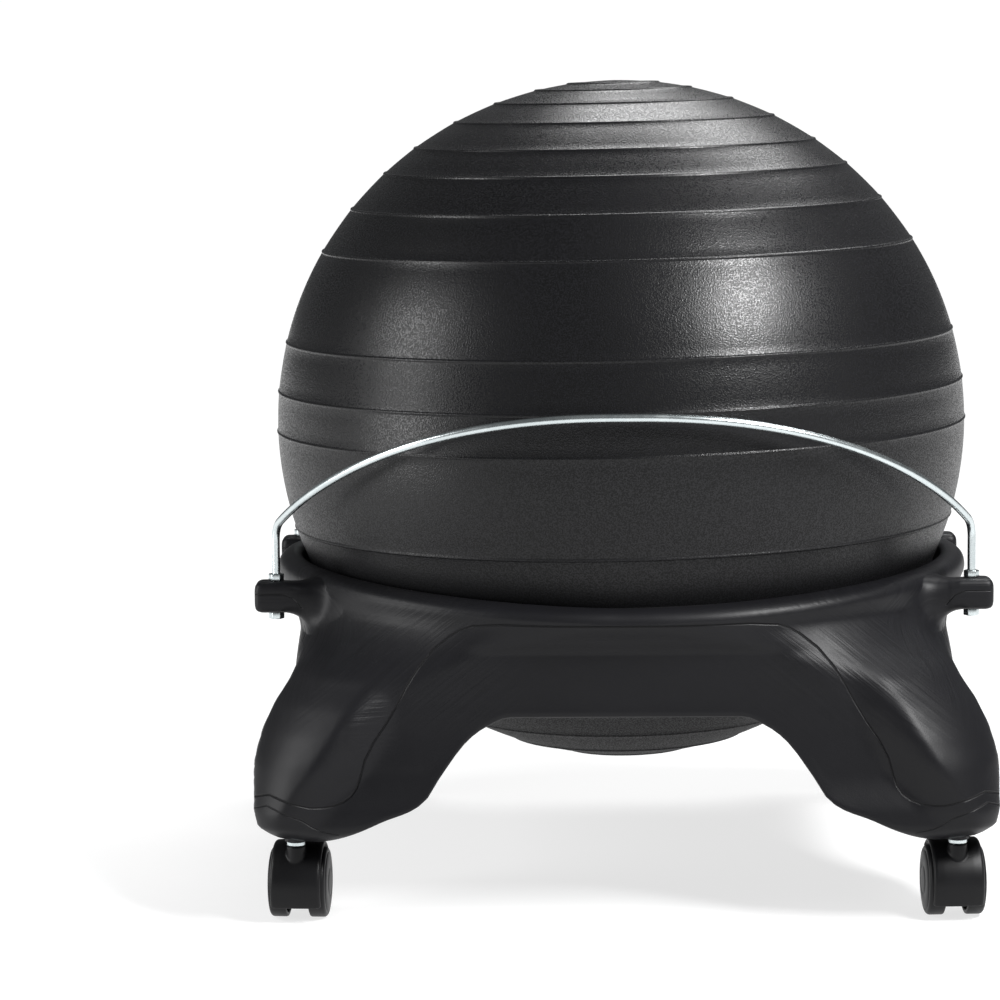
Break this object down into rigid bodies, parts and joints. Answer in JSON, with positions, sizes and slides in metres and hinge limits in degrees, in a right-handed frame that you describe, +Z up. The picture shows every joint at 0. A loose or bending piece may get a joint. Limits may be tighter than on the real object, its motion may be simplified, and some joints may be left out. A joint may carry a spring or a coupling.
{
  "type": "balance ball chair",
  "caption": "Ribbed exercise ball seated in a moulded four-leg base with arched sides, held by bent steel bars and carried on swivelling twin-wheel casters.",
  "frame": {"origin": "on the floor, at the centre of the chair's footprint", "axes": "+Z up, -Y towards the front, +X towards the chair's right as seen from the front"},
  "size_m": [0.538, 0.542, 0.5916],
  "materials": {
    "ball_vinyl": "satin vinyl with a fine pebbled grain",
    "base_plastic": "satin blow-moulded plastic, slightly mottled",
    "valve_plastic": "smooth soft plastic",
    "zinc_steel": "bright zinc plate",
    "socket_nylon": "satin nylon",
    "caster_nylon": "satin moulded nylon",
    "wheel_nylon": "satin moulded nylon, treads slightly scuffed"
  },
  "bodies": {
    "frame": {"base_shell": "base_plastic", "ball": "ball_vinyl", "valve_plug": "valve_plastic", "front_support_bar": "zinc_steel", "rear_support_bar": "zinc_steel", "upper_nut_front_left": "zinc_steel", "lower_nut_front_left": "zinc_steel", "upper_nut_front_right": "zinc_steel", "lower_nut_front_right": "zinc_steel", "upper_nut_rear_left": "zinc_steel", "lower_nut_rear_left": "zinc_steel", "upper_nut_rear_right": "zinc_steel", "lower_nut_rear_right": "zinc_steel", "stem_socket_front_left": "socket_nylon", "caster_stem_front_left": "zinc_steel", "stem_socket_front_right": "socket_nylon", "caster_stem_front_right": "zinc_steel", "stem_socket_rear_left": "socket_nylon", "caster_stem_rear_left": "zinc_steel", "stem_socket_rear_right": "socket_nylon", "caster_stem_rear_right": "zinc_steel"},
    "swivel_front_left": {"caster_hood_front_left": "caster_nylon", "caster_axle_front_left": "zinc_steel"},
    "left_wheel_front_left": {"wheel_left_front_left": "wheel_nylon"},
    "right_wheel_front_left": {"wheel_right_front_left": "wheel_nylon"},
    "swivel_front_right": {"caster_hood_front_right": "caster_nylon", "caster_axle_front_right": "zinc_steel"},
    "left_wheel_front_right": {"wheel_left_front_right": "wheel_nylon"},
    "right_wheel_front_right": {"wheel_right_front_right": "wheel_nylon"},
    "swivel_rear_left": {"caster_hood_rear_left": "caster_nylon", "caster_axle_rear_left": "zinc_steel"},
    "left_wheel_rear_left": {"wheel_left_rear_left": "wheel_nylon"},
    "right_wheel_rear_left": {"wheel_right_rear_left": "wheel_nylon"},
    "lever_rear_left": {"lock_lever_rear_left": "caster_nylon"},
    "swivel_rear_right": {"caster_hood_rear_right": "caster_nylon", "caster_axle_rear_right": "zinc_steel"},
    "left_wheel_rear_right": {"wheel_left_rear_right": "wheel_nylon"},
    "right_wheel_rear_right": {"wheel_right_rear_right": "wheel_nylon"},
    "lever_rear_right": {"lock_lever_rear_right": "caster_nylon"}
  },
  "joints": [
    {"name": "caster_swivel_front_left", "type": "hinge", "parent": "frame", "child": "swivel_front_left", "pos_m": [-0.234, -0.234, 0.045], "axis": [0, 0, 1], "continuous": true},
    {"name": "wheel_spin_left_front_left", "type": "hinge", "parent": "swivel_front_left", "child": "left_wheel_front_left", "pos_m": [-0.23275, -0.21605, 0.025], "axis": [0.9976, -0.0698, 0], "continuous": true},
    {"name": "wheel_spin_right_front_left", "type": "hinge", "parent": "swivel_front_left", "child": "right_wheel_front_left", "pos_m": [-0.23275, -0.21605, 0.025], "axis": [0.9976, -0.0698, 0], "continuous": true},
    {"name": "caster_swivel_front_right", "type": "hinge", "parent": "frame", "child": "swivel_front_right", "pos_m": [0.234, -0.234, 0.045], "axis": [0, 0, 1], "continuous": true},
    {"name": "wheel_spin_left_front_right", "type": "hinge", "parent": "swivel_front_right", "child": "left_wheel_front_right", "pos_m": [0.23275, -0.21605, 0.025], "axis": [0.9976, 0.0698, 0], "continuous": true},
    {"name": "wheel_spin_right_front_right", "type": "hinge", "parent": "swivel_front_right", "child": "right_wheel_front_right", "pos_m": [0.23275, -0.21605, 0.025], "axis": [0.9976, 0.0698, 0], "continuous": true},
    {"name": "caster_swivel_rear_left", "type": "hinge", "parent": "frame", "child": "swivel_rear_left", "pos_m": [-0.234, 0.234, 0.045], "axis": [0, 0, 1], "continuous": true},
    {"name": "wheel_spin_left_rear_left", "type": "hinge", "parent": "swivel_rear_left", "child": "left_wheel_rear_left", "pos_m": [-0.23275, 0.21605, 0.025], "axis": [-0.9976, -0.0698, 0], "continuous": true},
    {"name": "wheel_spin_right_rear_left", "type": "hinge", "parent": "swivel_rear_left", "child": "right_wheel_rear_left", "pos_m": [-0.23275, 0.21605, 0.025], "axis": [-0.9976, -0.0698, 0], "continuous": true},
    {"name": "lock_hinge_rear_left", "type": "hinge", "parent": "swivel_rear_left", "child": "lever_rear_left", "pos_m": [-0.23082, 0.18848, 0.03969], "axis": [0.9976, 0.0698, 0], "range_deg": [0, 18]},
    {"name": "caster_swivel_rear_right", "type": "hinge", "parent": "frame", "child": "swivel_rear_right", "pos_m": [0.234, 0.234, 0.045], "axis": [0, 0, 1], "continuous": true},
    {"name": "wheel_spin_left_rear_right", "type": "hinge", "parent": "swivel_rear_right", "child": "left_wheel_rear_right", "pos_m": [0.23275, 0.21605, 0.025], "axis": [-0.9976, 0.0698, 0], "continuous": true},
    {"name": "wheel_spin_right_rear_right", "type": "hinge", "parent": "swivel_rear_right", "child": "right_wheel_rear_right", "pos_m": [0.23275, 0.21605, 0.025], "axis": [-0.9976, 0.0698, 0], "continuous": true},
    {"name": "lock_hinge_rear_right", "type": "hinge", "parent": "swivel_rear_right", "child": "lever_rear_right", "pos_m": [0.23082, 0.18848, 0.03969], "axis": [0.9976, -0.0698, 0], "range_deg": [0, 18]}
  ]
}
